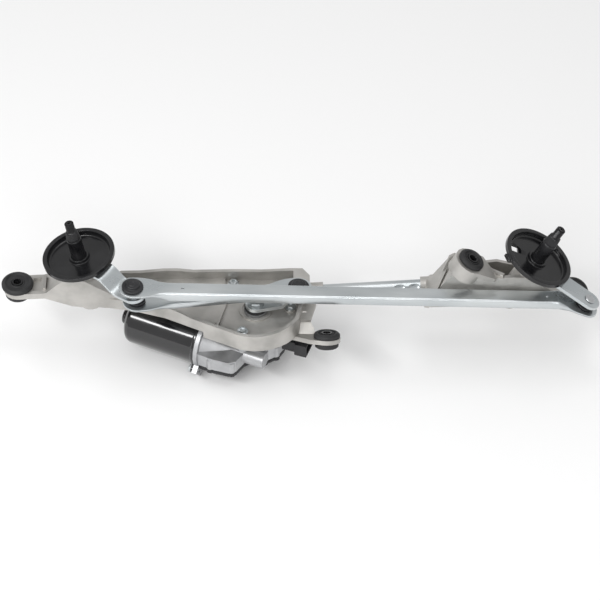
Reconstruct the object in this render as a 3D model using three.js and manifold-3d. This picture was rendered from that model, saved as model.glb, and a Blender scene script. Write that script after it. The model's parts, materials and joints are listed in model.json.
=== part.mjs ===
// Windshield wiper linkage of a car: two cast brackets joined by a steel tube, a worm-geared motor
// under the left bracket, a crank, two channel links and two levers that turn the wiper pivots.
// Millimetres, +Z up. The origin is the centre of the underside of the left mounting grommet.
import * as THREE from 'three';
import { mergeVertices } from 'three/addons/utils/BufferGeometryUtils.js';
import Module from 'manifold-3d';

const wasm = await Module();
wasm.setup();

// ---------------------------------------------------------------- driving dimensions
const GAP = 0.3; // clearance between touching pieces
const RAD = Math.PI / 180;
const COARSE = 0.7; // share of the stated sides that round shapes are made with

const PIVOT = { // both wiper pivots, measured from the top face of the lever
  shaftR: 8, knurlTopR: 6.2, threadR: 5, boreR: 10.4, housingR: 14,
  housingTop: -5.9, housingBottom: -64, shaftBottom: -70,
  plainTop: 31.5, knurlTop: 43.5, threadTop: 55.5,
};
const LEFT = { at: [71, -1.4, 55.1], lean: -10, arm: 74.9, turn: -38.7, drop: 16.05, width: 25 };
const RIGHT = { at: [564.8, -14.1, 63.6], lean: 28, arm: 72.4, turn: -20.4, drop: 0, width: 25 };
const LEVER_T = 4; // lever sheet thickness
const CUP = { rimR: 40, floorR: 33, stepR: 36, bottom: GAP, floor: 3.2, step: 4.8, rim: 9.6 };
const BALL_R = 6.2;

const UPPER_BALL = [129.877, -48.231, 57.815]; // long link on the left lever
const LOWER_BALL = [133.611, -48.231, 36.642]; // short link under the left lever
const RIGHT_BALL = [619.082, -39.337, 21.147]; // long link under the right lever
const CRANK_BALL = [308.7, -15, 25]; // short link on the crank

const MOTOR_AT = [261.9, -23.6, 0]; // output shaft axis
const ARM_Z = [6.4, 10.9]; // crank arm underside and top at the shaft
const ARM_END_Z = [15.4, 18.2]; // and at the ball, where it clears the tray's rim
const MOTOR_AXIS_AT = [204.5, -34.6, -38]; // middle of the yoke flange
const MOTOR_TURN = -24.6; // armature axis in plan
const YOKE = { length: 90, r: 27, wall: 2, flangeR: 30, hubR: 9.5, hub: 8 };
const YOKE_EARS = [130, -50]; // degrees round the armature axis
const YOKE_EAR_R = 33;
const WHEEL = { teeth: 48, r: 29.2, rootR: 27.4, z0: -43, z1: -33 };
const HOUSING = { r: 34, cavityR: 31, top: -4.4, bottom: -47.2, lobeTop: -31, tunnelR: 8.8 };
const LOBE = [ // the housing's wide foot beside the worm, in plan
  [195, -60.5], [216, -70.5], [232, -75.5], [240, -73], [249, -60], [262, -52], [244, -24],
  [208, -40],
];
const COVER_BOSSES = [ // in plan
  [212, -65.5], [235, -71.5], [271, -54], [283.5, -46.5], [295.3, -10.7], [271.5, 10.1],
  [229.9, -7.9],
];
const SCREWS = [[-14.2, -35.2], [37.9, 2.7], [-25.1, 38.6]]; // from the output shaft's axis
// The tray: floor and skirt are deeper round the gearbox than in the shallow part at the left.
const TRAY = { arcR: 55, wall: 4, rim: 17, skirt: -9, plate: -4, shallow: -1, shallowFloor: 3 };
const SOCKET_R = 10.8; // of the castings round the cross tube
const TUBE = { from: [328, 2, 2], to: [447, 4, 9], r: 8, wall: 1.6, inSocket: 15 };
const FORK_AT = [339.5, -61.4, -8];
const FORK_LEAN = -28;
const GROMMET = { flangeR: 17.5, footR: 14, waistR: 9.6, boreR: 6.4, height: 20 };
const SMALL_GROMMET = { flangeR: 14.5, footR: 13, waistR: 9.2, boreR: 6.4, height: 17 };
const SLEEVE = { r: 6, boreR: 4.2 };

// ---------------------------------------------------------------- materials
const PAINTS = {
  cast: [0xb9b4ac, 0.55, 0.75],
  housing: [0xa9abad, 0.5, 0.8],
  zinc: [0xb6bdc6, 0.32, 0.95],
  steel: [0x8d9196, 0.35, 0.95],
  black_steel: [0x101114, 0.35, 0.6],
  black_plastic: [0x15161a, 0.4, 0],
  rubber: [0x17171a, 0.8, 0],
  copper: [0xb06a3a, 0.4, 0.9],
  magnet: [0x3c3c40, 0.7, 0.1],
  carbon: [0x2a2a2c, 0.6, 0.1],
  bronze: [0xa07a45, 0.5, 0.8],
  nylon: [0xe4ded0, 0.6, 0],
};

// ---------------------------------------------------------------- solids
function solid(geometry) {
  const g = geometry.index ? geometry.clone() : mergeVertices(geometry);
  g.deleteAttribute('normal');
  g.deleteAttribute('uv');
  const merged = mergeVertices(g, 1e-4);
  const position = merged.attributes.position;
  const index = Array.from(merged.index.array);
  let volume = 0;
  const [a, b, c] = [new THREE.Vector3(), new THREE.Vector3(), new THREE.Vector3()];
  const triVerts = [];
  for (let i = 0; i < index.length; i += 3) {
    const [p, q, r] = [index[i], index[i + 1], index[i + 2]];
    if (p === q || q === r || r === p) continue;
    a.fromBufferAttribute(position, p);
    b.fromBufferAttribute(position, q);
    c.fromBufferAttribute(position, r);
    volume += a.dot(b.cross(c));
    triVerts.push(p, q, r);
  }
  if (volume < 0) {
    for (let i = 0; i < triVerts.length; i += 3) {
      [triVerts[i], triVerts[i + 1]] = [triVerts[i + 1], triVerts[i]];
    }
  }
  return new wasm.Manifold(new wasm.Mesh({
    numProp: 3,
    vertProperties: new Float32Array(position.array),
    triVerts: new Uint32Array(triVerts),
  }));
}

const join = (...solids) => solids.reduce((all, next) => all.add(next));
const cut = (body, ...tools) => tools.reduce((left, tool) => left.subtract(tool), body);

// Moves a geometry by a turn about X, Y, Z in degrees and then to a point.
function placed(geometry, at = [0, 0, 0], turn = [0, 0, 0]) {
  const euler = new THREE.Euler(turn[0] * RAD, turn[1] * RAD, turn[2] * RAD, 'ZYX');
  geometry.applyMatrix4(new THREE.Matrix4().makeRotationFromEuler(euler));
  geometry.translate(...at);
  return geometry;
}

function discGeometry(r, z0, z1, x = 0, y = 0, sides = 24, topR = r) {
  const g = new THREE.CylinderGeometry(topR, r, z1 - z0, Math.round(sides * COARSE));
  g.rotateX(Math.PI / 2);
  g.translate(x, y, (z0 + z1) / 2);
  return g;
}
const disc = (...sizes) => solid(discGeometry(...sizes));

function blockGeometry(x0, x1, y0, y1, z0, z1) {
  const g = new THREE.BoxGeometry(x1 - x0, y1 - y0, z1 - z0);
  g.translate((x0 + x1) / 2, (y0 + y1) / 2, (z0 + z1) / 2);
  return g;
}
const block = (...sizes) => solid(blockGeometry(...sizes));

// A closed [radius, z] outline turned about Z.
function turnedGeometry(outline, sides = 24) {
  const points = outline.map(([r, z]) => new THREE.Vector2(r, z));
  const [first, last] = [points[0], points[points.length - 1]];
  if (first.x > 0 || last.x > 0) points.push(first.clone());
  const g = new THREE.LatheGeometry(points, Math.round(sides * COARSE));
  g.rotateX(Math.PI / 2);
  return g;
}
const turned = (...args) => solid(turnedGeometry(...args));
const ring = (inR, outR, z0, z1, sides = 24) =>
  turned([[inR, z0], [outR, z0], [outR, z1], [inR, z1]], sides);

// An outline without the points that lie on the straight line between their neighbours.
function shapeOf(points) {
  const count = points.length;
  const corners = points.filter(([x, y], i) => {
    const [x0, y0] = points[(i + count - 1) % count];
    const [x1, y1] = points[(i + 1) % count];
    return Math.abs((x - x0) * (y1 - y) - (y - y0) * (x1 - x)) > 1e-3;
  });
  return new THREE.Shape(corners.map(([x, y]) => new THREE.Vector2(x, y)));
}
function plateGeometry(points, z0, z1) {
  const g = new THREE.ExtrudeGeometry(shapeOf(points), { depth: z1 - z0, bevelEnabled: false });
  g.translate(0, 0, z0);
  return g;
}
const plate = (...args) => solid(plateGeometry(...args));

// An [x, z] outline carried along Y.
function profileGeometry(points, y0, y1) {
  const g = new THREE.ExtrudeGeometry(shapeOf(points), { depth: y1 - y0, bevelEnabled: false });
  g.rotateX(Math.PI / 2);
  g.translate(0, y1, 0);
  return g;
}
const profile = (...args) => solid(profileGeometry(...args));

function arc(cx, cy, r, from, to, step = 12) {
  const count = Math.max(2, Math.round(Math.abs(to - from) / step));
  return Array.from({ length: count + 1 }, (_, i) => {
    const angle = (from + (to - from) * i / count) * RAD;
    return [cx + r * Math.cos(angle), cy + r * Math.sin(angle)];
  });
}

// Moves each side of an anticlockwise outline inwards.
function inset(points, distance) {
  const count = points.length;
  return points.map((point, i) => {
    const before = points[(i + count - 1) % count];
    const after = points[(i + 1) % count];
    const u = new THREE.Vector2(point[0] - before[0], point[1] - before[1]).normalize();
    const v = new THREE.Vector2(after[0] - point[0], after[1] - point[1]).normalize();
    const n = new THREE.Vector2(-u.y - v.y, u.x + v.x);
    const scale = distance / (1 + u.dot(v));
    return [point[0] + n.x * scale, point[1] + n.y * scale];
  });
}

// ---------------------------------------------------------------- scene graph
const assembly = new THREE.Group();

function frame(at, turn = [0, 0, 0], parent = assembly) {
  const group = new THREE.Group();
  group.position.set(...at);
  group.rotation.set(turn[0] * RAD, turn[1] * RAD, turn[2] * RAD, 'ZYX');
  parent.add(group);
  return group;
}

function piece(parent, name, body, paint) {
  const mesh = body.getMesh();
  const geometry = new THREE.BufferGeometry();
  geometry.setAttribute('position', new THREE.BufferAttribute(mesh.vertProperties, 3));
  geometry.setIndex(new THREE.BufferAttribute(mesh.triVerts, 1));
  const [color, roughness, metalness] = PAINTS[paint];
  const material = new THREE.MeshStandardMaterial({ color, roughness, metalness });
  const part = new THREE.Mesh(geometry, material);
  part.name = name;
  parent.add(part);
}

const leftFrame = frame(LEFT.at, [0, LEFT.lean, 0]);
const rightFrame = frame(RIGHT.at, [0, RIGHT.lean, 0]);
const forkFrame = frame(FORK_AT, [FORK_LEAN, 0, 0]);
const outputFrame = frame(MOTOR_AT);
const motorFrame = frame(MOTOR_AXIS_AT, [0, 0, MOTOR_TURN]);

// ---------------------------------------------------------------- grommets and sleeves
function grommet(size) {
  const waistTop = size.height - 5.3;
  return turned([
    [size.boreR, 0.2], [size.footR - 1, 0], [size.footR, 1], [size.footR, 6.3],
    [size.waistR, 6.3], [size.waistR, waistTop], [size.flangeR, waistTop],
    [size.flangeR, size.height - 1.6], [size.flangeR - 2, size.height],
    [size.flangeR - 5, size.height], [size.flangeR - 6, size.height - 1.4],
    [size.boreR, size.height - 1.4],
  ]);
}
const sleeve = (height) => ring(SLEEVE.boreR, SLEEVE.r, 0, height, 16);

function mounting(parent, name, at, size) {
  const group = frame(at, [0, 0, 0], parent);
  piece(group, `${name}_grommet`, grommet(size), 'rubber');
  piece(group, `${name}_sleeve`, sleeve(size.height), 'black_steel');
}
// Ear grommets sit with their waist in the ear, whose underside is this far above the foot.
const EAR_Z = [6.6, 14.4];
const SMALL_EAR_Z = [6.6, 11.4];
mounting(assembly, 'left_mount', [0, 0, 0], GROMMET);
const FORK_GROMMET_Z = -(SMALL_EAR_Z[0] + SMALL_EAR_Z[1]) / 2;
mounting(forkFrame, 'fork_mount', [0, 0, FORK_GROMMET_Z], SMALL_GROMMET);
const INNER_EAR = [-64.6, -4.7, -22 - SMALL_GROMMET.height];
const OUTER_EAR = [70.2, 16.2, -22 - SMALL_GROMMET.height];
mounting(rightFrame, 'right_inner_mount', INNER_EAR, SMALL_GROMMET);
mounting(rightFrame, 'right_outer_mount', OUTER_EAR, SMALL_GROMMET);

// ---------------------------------------------------------------- left bracket
const tubeStart = new THREE.Vector3(...TUBE.from);
const tubeAlong = new THREE.Vector3(...TUBE.to).sub(tubeStart);
const TUBE_SPAN = tubeAlong.length();
const tubeTurn = [
  0,
  -Math.asin(tubeAlong.z / TUBE_SPAN) / RAD,
  Math.atan2(tubeAlong.y, tubeAlong.x) / RAD,
];

// A cylinder along the cross tube, from one distance along it to another.
function alongTube(r, from, to, sides = 28) {
  const g = discGeometry(r, from, to, 0, 0, sides);
  g.rotateY(Math.PI / 2);
  return solid(placed(g, TUBE.from, tubeTurn));
}

// The tray the gearbox hangs under.
function tray() {
  const [mx, my] = MOTOR_AT;
  const outline = [
    [100, -20], [128, -25], [163, -36], [178, -43.6], [214, -61.5],
    ...arc(mx, my, TRAY.arcR, -122, -32, 10),
    [313, -30], [321, 6], [321, 15], [313, 26], [240, 27], [180, 25], [113, 24], [100, 17],
  ];
  const inside = inset(outline, TRAY.wall);
  const { skirt, rim, plate: low, shallow, shallowFloor } = TRAY;
  const shallowPart = [
    [90, -70], [205, -70], [211, -57], [221, -44], [229, -8], [227, 40], [90, 40],
  ];
  const rimLine = [
    [90, 13], [134, 13.3], [159, 16], [175, 16], [193, 13.2], [268, 12.6], [300, 15], [330, 15],
  ];
  return join(
    cut(
      plate(outline, skirt, rim),
      plate(inside, 0, rim + 1),
      plate(inside, skirt - 1, low),
      plate([[90, -70], [205, -70], [205, 40], [90, 40]], skirt - 1, shallow),
      profile([...rimLine, [330, 30], [90, 30]], -90, 40),
    ),
    plate(inset(outline, 1), 0, shallowFloor).intersect(plate(shallowPart, -1, shallowFloor)),
    plate([[303, 5], [318, 7], [318, 14], [311, 23], [303, 23]], 9, 15),
    plate([[306, -44], [322, -44], [328, -20], [324, 2], [306, 2]], 1, 5),
  );
}

// The hood that carries the pivot housing, open below.
function hood() {
  const outline = [
    [29, 7], [72, 0], [81, -3], [88, 0], [114, -2.4], [114, 11.8], [103, 20.5], [75, 39.8],
    [51, 37.6], [32, 15.6], [29, 14.4],
  ];
  const inner = [[36, -10], [110, -10], [110, 9], [101, 17], [74, 35.6], [53, 33.6], [36, 14]];
  const plan = [[29, -13], [60, -20], [114, -20], [114, 17], [29, 17]];
  return cut(
    profile(outline, -21, 18).intersect(plate(plan, -10, 60)),
    profile(inner, -21, 18).intersect(plate(inset(plan, 4), -20, 60)),
  );
}

// The fork ear beside the gearbox, with the gusset that props it against the tray.
function forkEar() {
  const outline = [[0, -15], [0, 14], [-22, 20], [-38, 20], [-41, 8], [-18, -9.5]];
  const gusset = plateGeometry([[-7, 0], [17, 0], [5, 27], [-2, 27]], -3, 0);
  return join(
    solid(placed(discGeometry(15, -2.4, 2.4), FORK_AT, [FORK_LEAN, 0, 0])),
    solid(placed(plateGeometry(outline, -2.4, 2.4), FORK_AT, [FORK_LEAN, 0, 0])),
    solid(placed(gusset, [312, -51, -13], [45, 0, 0])),
    block(300, 306, -50, -38, -18, 4),
  );
}

function leftBracket() {
  const [mx, my] = MOTOR_AT;
  const { housingR, housingTop, housingBottom, boreR } = PIVOT;
  const lean = [0, LEFT.lean, 0];
  const pivotTube = solid(placed(discGeometry(housingR, housingBottom, housingTop), LEFT.at, lean));
  const pivotBore = solid(placed(discGeometry(boreR, housingBottom - 5, 10), LEFT.at, lean));

  const [earBottom, earTop] = EAR_Z;
  const earArm = plate([...arc(0, 0, 15, 90, 270, 20), [32, -13], [32, 17]], earBottom, earTop);
  const pockets = join(
    plate([[17, -9], [26, -9], [26, 12], [17, 11]], earBottom + 3, earTop + 1),
    disc(GROMMET.waistR + GAP, 0, 20),
  );
  const earRib = block(28.5, 31.5, -8, 11, earTop - 1, 18);

  const forkBore = discGeometry(SMALL_GROMMET.waistR + GAP, -9, 9);
  const holes = [disc(13.2, -12, 4, mx, my)];
  const pads = [solid(placed(
    turnedGeometry([[15, -1], [18.5, -1], [18.5, 1.4], [15, 1.4]]), [mx, my, 0],
  ))];
  for (const [x, y] of SCREWS) {
    holes.push(disc(3.5, -12, 4, mx + x, my + y, 16));
    pads.push(disc(7.5, -1, 1.6, mx + x, my + y, 24));
  }
  const ridge = plate([[217, -56], [220, -56], [232, -10], [229, -10]], -1, 3.4);
  const whole = join(
    tray(), hood(), pivotTube, earArm, earRib, forkEar(), alongTube(SOCKET_R, -20, 8), ridge,
    ...pads,
  );
  return cut(
    whole, pivotBore, pockets, alongTube(TUBE.r + GAP, -TUBE.inSocket - GAP, 20),
    solid(placed(forkBore, FORK_AT, [FORK_LEAN, 0, 0])), ...holes,
  );
}
piece(assembly, 'left_bracket', leftBracket(), 'cast');

// ---------------------------------------------------------------- cross tube
function crossTube() {
  const end = TUBE_SPAN + TUBE.inSocket;
  const crimps = [92, 108].map((x) => {
    const g = new THREE.SphereGeometry(1, 16, 8);
    g.scale(6, 4, 1.2);
    return solid(placed(g, [
      tubeStart.x + tubeAlong.x * x / TUBE_SPAN,
      tubeStart.y + tubeAlong.y * x / TUBE_SPAN - 5.6,
      tubeStart.z + tubeAlong.z * x / TUBE_SPAN + 5.6,
    ], [45, 0, 0]));
  });
  return cut(
    alongTube(TUBE.r, -TUBE.inSocket, end),
    alongTube(TUBE.r - TUBE.wall, -TUBE.inSocket - 1, end + 1),
    ...crimps,
  );
}
piece(assembly, 'cross_tube', crossTube(), 'zinc');

// ---------------------------------------------------------------- right bracket
function rightBracket() {
  const inRight = (geometry) => solid(placed(geometry, RIGHT.at, [0, RIGHT.lean, 0]));
  const [low, high] = SMALL_EAR_Z;
  const earZ = INNER_EAR[2];
  const frontWall = [
    [453, 9], [530, 12], [590, 8], [595, 16], [592, 28], [568, 46], [555, 54], [540, 54.7],
    [530, 53.6], [516, 54], [497, 58], [477, 61], [466, 42],
  ];
  const sideLine = [[446, 9], [449, 20], [457, 31], [467, 47], [476, 61]];
  const sideWall = [...sideLine, ...sideLine.map(([x, z]) => [x + 5, z - 1]).reverse()];
  const groove = profile(
    [...sideLine.map(([x, z]) => [x - 2, z + 2]),
      ...sideLine.map(([x, z]) => [x + 2, z - 1.4]).reverse()], -40, 10,
  ).intersect(plate([[458, -30], [462, -30], [474, -14], [470, -12]], 0, 80));
  const backWall = [
    [484, 12], [590, 12], [590, 20], [560, 30], [540, 33], [526, 37], [513, 35], [496, 44],
    [484, 46],
  ];
  const floor = [[450, 9], [530, 12], [590, 8], [590, 12], [530, 16], [454, 13]];
  const earRib = [[462, 20], [486, 20], [486, 60], [478, 70], [472, 66], [466, 47], [462, 32]];
  const walls = [
    profile(frontWall, -29, -25),
    profile(sideWall, -29, 2),
    profile(backWall, 14, 18),
    profile(floor, -29, 18),
    profile(earRib, -10, -6),
    block(484, 488, -10, 16, 12, 44),
    block(510, 514, -27, 16, 12, 36),
    plate([[506, -14], [509, -11], [532, -25], [530, -28]], 13, 57),
    plate([[528, -27], [531, -28], [557, -12], [555, -9]], 13, 50),
  ];
  const pivotTube = inRight(
    discGeometry(PIVOT.housingR, PIVOT.housingBottom, PIVOT.housingTop),
  );
  const earCup = turnedGeometry([[15.6, -6], [18, -6], [18, low + 1], [15.6, low + 1]]);
  earCup.translate(...INNER_EAR);
  const mounts = [
    inRight(earCup),
    inRight(discGeometry(18, earZ + low, earZ + high, INNER_EAR[0], INNER_EAR[1])),
    inRight(discGeometry(15, earZ + low, earZ + high, OUTER_EAR[0], OUTER_EAR[1])),
    inRight(plateGeometry(
      [[-66, -22], [-66, 12], [-48, 10], [-30, -14], [-34, -18]], earZ + low, earZ + high,
    )),
    inRight(plateGeometry(
      [[70, 2], [70, 30], [20, 20], [4, 13], [4, -13], [20, -14]], earZ + low, earZ + high,
    )),
  ];
  const clearances = [INNER_EAR, OUTER_EAR].flatMap(([x, y, z]) => [
    inRight(discGeometry(SMALL_GROMMET.waistR + GAP, z, z + 20, x, y)),
    inRight(discGeometry(SMALL_GROMMET.flangeR + 1, z - 5, z + low - 0.01, x, y)),
    inRight(discGeometry(SMALL_GROMMET.flangeR + 1, z + high + 0.01, z + 30, x, y)),
  ]);
  const bore = inRight(discGeometry(PIVOT.boreR, PIVOT.housingBottom - 30, 10));
  const clipRoom = inRight(
    discGeometry(PIVOT.boreR + 2, PIVOT.housingBottom - 30, PIVOT.housingBottom),
  );
  return cut(
    join(...walls, pivotTube, ...mounts, alongTube(SOCKET_R, TUBE_SPAN - 4, TUBE_SPAN + 22)),
    groove, ...clearances, bore, clipRoom,
    alongTube(TUBE.r + GAP, 0, TUBE_SPAN + TUBE.inSocket + GAP),
  );
}
piece(assembly, 'right_bracket', rightBracket(), 'cast');

// ---------------------------------------------------------------- pivots
function pivotShaft() {
  const p = PIVOT;
  return cut(
    turned([
      [0, p.shaftBottom], [p.shaftR - 1, p.shaftBottom], [p.shaftR, p.shaftBottom + 1],
      [p.shaftR, -67.2], [p.shaftR - 1, -67.2], [p.shaftR - 1, -65.6], [p.shaftR, -65.6],
      [p.shaftR, p.plainTop], [p.shaftR - 0.7, p.plainTop + 0.7], [p.knurlTopR, p.knurlTop],
      [p.threadR, p.knurlTop + 0.6], [p.threadR, p.threadTop - 1],
      [p.threadR - 1, p.threadTop], [0, p.threadTop],
    ], 20),
    disc(1.6, p.threadTop - 5, p.threadTop + 1, 0, 0, 8),
  );
}

function leverBody(side) {
  const start = side.arm * 0.5;
  const stop = side.arm * 0.72;
  const top = [[-20, 0], [start, 0], [stop, -side.drop], [side.arm + 20, -side.drop]];
  const bottom = top.map(([x, z]) => [x, z - LEVER_T]).reverse();
  const half = side.width / 2;
  const outline = [
    ...arc(0, 0, 16, 50, 310, 18),
    [22, -half], ...arc(side.arm, 0, half, -90, 90, 20), [22, half],
  ];
  const hole = disc(PIVOT.shaftR + 0.5, -20, 5, 0, 0, 20);
  const studHole = disc(3.6, -30, 5, side.arm, 0, 16);
  return cut(
    profile([...top, ...bottom], -30, 30).intersect(plate(outline, -40, 10)), hole, studHole,
  );
}

// The right cup has a drain hole in its floor and a locating tab on its rim.
function cup(notched) {
  const c = CUP;
  const dish = turned([
    [PIVOT.shaftR + GAP, c.bottom], [17, c.bottom], [c.floorR, c.bottom], [c.floorR + 3, 2],
    [c.rimR - 1, c.step - 1], [c.rimR, c.step], [c.rimR, c.rim],
    [c.rimR - 5, c.rim], [c.stepR - 2.6, c.floor], [11.6, c.floor], [11, c.floor + 4],
    [PIVOT.shaftR + GAP, c.floor + 4],
  ], 32);
  if (!notched) return dish;
  const tab = blockGeometry(37, 42.5, -5, 5, 2.6, 6);
  tab.rotateZ(203 * RAD);
  return cut(join(dish, solid(tab)), block(-32, -22.5, 0.5, 10.5, -1, 9));
}

function pivotSet(parent, name, side, notched) {
  piece(parent, `${name}_pivot_shaft`, pivotShaft(), 'black_steel');
  const bushR = PIVOT.boreR - GAP;
  const inner = PIVOT.shaftR + GAP;
  const bush = (z0, z1) => ring(inner, bushR, z0, z1, 20);
  piece(parent, `${name}_upper_bush`, bush(-26, PIVOT.housingTop), 'bronze');
  piece(parent, `${name}_lower_bush`, bush(PIVOT.housingBottom, -46), 'bronze');
  piece(parent, `${name}_circlip`, ring(PIVOT.shaftR - 0.7, 9.8, -67, -65.8, 16), 'steel');
  piece(parent, `${name}_cup`, cup(notched), 'black_plastic');
  const arm = frame([0, 0, 0], [0, 0, side.turn], parent);
  piece(arm, `${name}_lever`, leverBody(side), 'zinc');
  return arm;
}

const leftArm = pivotSet(leftFrame, 'left', LEFT, false);
const rightArm = pivotSet(rightFrame, 'right', RIGHT, true);

// Ball stud with its ball centre at zero height and its foot on a face at base, through which its
// shank passes.
function ballStud(base, shank) {
  const foot = -Math.abs(base);
  const neck = 3.6;
  const outline = [[0, BALL_R]];
  for (let angle = 60; angle >= -45; angle -= 35) {
    outline.push([BALL_R * Math.cos(angle * RAD), BALL_R * Math.sin(angle * RAD)]);
  }
  const ballBase = -BALL_R * Math.sin(45 * RAD);
  outline.push([neck, ballBase - 0.8], [neck, foot + 1.2], [6, foot + 1.2], [6, foot]);
  if (shank) outline.push([3.3, foot], [3.3, foot - shank]);
  outline.push([0, foot - shank]);
  const g = turnedGeometry(outline, 16);
  if (base > 0) g.rotateX(Math.PI);
  return g;
}

const leverEnd = [LEFT.arm, 0, -LEFT.drop];
const upperStud = placed(ballStud(-8.2, LEVER_T - 0.4), [leverEnd[0], 0, leverEnd[2] + 8.5]);
const lowerStud = placed(ballStud(8.7, 0), [leverEnd[0], 0, leverEnd[2] - 13]);
piece(leftArm, 'left_upper_ball_stud', solid(upperStud), 'steel');
piece(leftArm, 'left_lower_ball_stud', solid(lowerStud), 'steel');
const rivet = turned([
  [0, -LEVER_T], [3.3, -LEVER_T], [3.3, GAP], [6, GAP], [5.4, 1.8], [0, 2],
], 16);
const rivetFrame = frame([RIGHT.arm, 0, 0], [0, 0, 0], rightArm);
piece(rivetFrame, 'right_lever_rivet', rivet, 'steel');

// ---------------------------------------------------------------- links
const LINK = { width: 19, sheet: 2.4, top: 1.2, eyeR: 15 };

// A pressed channel, open below, with a flat eye at each end. rise lifts the straight part towards
// the far end, and the far eye then slopes back down from bend to the end.
function channelLink({ length, depth, rise, bend, neck, flangeFrom, flangeTo }) {
  const half = LINK.width / 2;
  const { eyeR, sheet, top } = LINK;
  const outline = [
    ...arc(0, 0, eyeR, 60, 300, 20), [neck, -half], [length - neck, -half],
    ...arc(length, 0, eyeR, -120, 120, 20), [length - neck, half], [neck, half],
  ];
  const slope = rise / bend;
  const fall = rise / Math.max(length - bend, 1);
  const lift = (x) => slope * Math.min(x, bend) - fall * Math.max(x - bend, 0);
  const upper = [-eyeR - 2, bend, length + eyeR + 2].map((x) => [x, lift(x) + top]);
  const sheetOutline = [...upper].reverse().concat(upper.map(([x, z]) => [x, z - sheet]));
  const lower = [
    [flangeFrom, 0.4], [flangeFrom + 22, depth], [flangeTo - 22, depth], [flangeTo, 0.4],
  ].map(([x, below]) => [x, lift(x) + top - below]);
  const upperX = flangeTo > bend ? [flangeTo, bend, flangeFrom] : [flangeTo, flangeFrom];
  const flanges = [...lower, ...upperX.map((x) => [x, lift(x) + top - 0.2])];
  const face = plate(outline, -30, 30);
  const walls = cut(face, plate(inset(outline, sheet), -31, 31));
  const eyes = [disc(9.6, -30, 30, 0, 0, 20), disc(9.6, -30, 30, length, 0, 20)];
  const pinholes = [neck + 14, length - neck - 2].map((x) => disc(1.8, -30, 30, x, 0, 8));
  return cut(
    join(
      profile(sheetOutline, -40, 40).intersect(face),
      profile(flanges, -40, 40).intersect(walls),
    ),
    ...eyes, ...pinholes,
  );
}

function linkFrame(from, to) {
  const along = new THREE.Vector3(...to).sub(new THREE.Vector3(...from));
  const length = along.length();
  const group = frame(from, [
    0, -Math.asin(along.z / length) / RAD, Math.atan2(along.y, along.x) / RAD,
  ]);
  return { group, length };
}

// Plastic ball socket snapped into a link eye, closed by a stepped cap on the side away from the
// lever. It opens towards its lever, and up is +1 where the cap is on top.
function ballSocket(up) {
  const inR = BALL_R + 2 * GAP;
  const outline = [[inR + 0.2, -4.4], [8.8, -4.4], [9.2, -1.6], [9.2, 1.5], [11.6, 1.5]];
  outline.push([11.6, 3.6], [8, 4.2], [7.6, 6.6], [3.4, 7.6], [0, 7.6], [0, inR]);
  for (let angle = 60; angle >= -30; angle -= 30) {
    outline.push([inR * Math.cos(angle * RAD), inR * Math.sin(angle * RAD)]);
  }
  const g = turnedGeometry(outline, 20);
  if (up < 0) g.rotateX(Math.PI);
  return g;
}

const long = linkFrame(UPPER_BALL, RIGHT_BALL);
const LONG_BEND = long.length - 30;
piece(long.group, 'long_link', channelLink({
  length: long.length, depth: 10, rise: 12.2, bend: LONG_BEND, neck: 34,
  flangeFrom: 20, flangeTo: long.length - 14,
}), 'zinc');
piece(long.group, 'long_link_left_socket', solid(ballSocket(1)), 'black_plastic');
const bentEye = frame([long.length, 0, 0], [0, 22, 0], long.group);
piece(bentEye, 'long_link_right_socket', solid(ballSocket(-1)), 'black_plastic');
piece(bentEye, 'long_link_right_ball_stud', solid(ballStud(7, 0)), 'steel');
const boot = turned([[4.1, 4.7], [11, 4.7], [11.4, 5.1], [10.8, 5.5], [4.1, 5.5]], 20);
piece(bentEye, 'long_link_right_boot', boot, 'rubber');

const short = linkFrame(LOWER_BALL, CRANK_BALL);
piece(short.group, 'short_link', channelLink({
  length: short.length, depth: 7, rise: 0, bend: short.length, neck: 34,
  flangeFrom: 20, flangeTo: short.length - 16,
}), 'zinc');
piece(short.group, 'short_link_lever_socket', solid(ballSocket(-1)), 'black_plastic');
const crankEye = frame([short.length, 0, 0], [0, 0, 0], short.group);
piece(crankEye, 'short_link_crank_socket', solid(ballSocket(1)), 'black_plastic');
piece(crankEye, 'short_link_ball_stud', solid(ballStud(-6.4, 0)), 'steel');

// ---------------------------------------------------------------- crank and gearbox output
const crankTurn = Math.atan2(CRANK_BALL[1] - MOTOR_AT[1], CRANK_BALL[0] - MOTOR_AT[0]) / RAD;
const CRANK_R = Math.hypot(CRANK_BALL[0] - MOTOR_AT[0], CRANK_BALL[1] - MOTOR_AT[1]);
const crankFrame = frame([0, 0, 0], [0, 0, crankTurn], outputFrame);
const armOutline = [...arc(0, 0, 11.5, 80, 280, 20), ...arc(CRANK_R, 0, 9.5, -80, 80, 20)];
const [armLow, armHigh] = ARM_Z;
const armProfile = [
  [-12, armLow], [28, armLow], [37, ARM_END_Z[0]], [58, ARM_END_Z[0]],
  [58, ARM_END_Z[1]], [36, ARM_END_Z[1]], [27, armHigh], [-12, armHigh],
];
piece(crankFrame, 'crank_arm', cut(
  profile(armProfile, -12, 12).intersect(plate(armOutline, 0, 20)), disc(5.3, 0, 20),
), 'zinc');
const nutOutline = arc(0, 0, 8.1, 0, 300, 60);
piece(outputFrame, 'crank_nut', cut(
  join(plate(nutOutline, ARM_Z[1] + GAP + 1, 15.6), disc(9.4, ARM_Z[1] + GAP, ARM_Z[1] + 1.8)),
  disc(4.3, 0, 20, 0, 0, 24),
), 'zinc');
piece(outputFrame, 'output_shaft', turned([
  [0, -46], [6, -46], [7, -45], [7, 4.6], [5, 6], [5, ARM_Z[1]], [4, ARM_Z[1] + 0.4],
  [4, 16], [0, 16.4],
], 18), 'steel');
piece(outputFrame, 'output_seal', ring(7.3, 12.6, 3.3, 6, 24), 'rubber');

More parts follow.
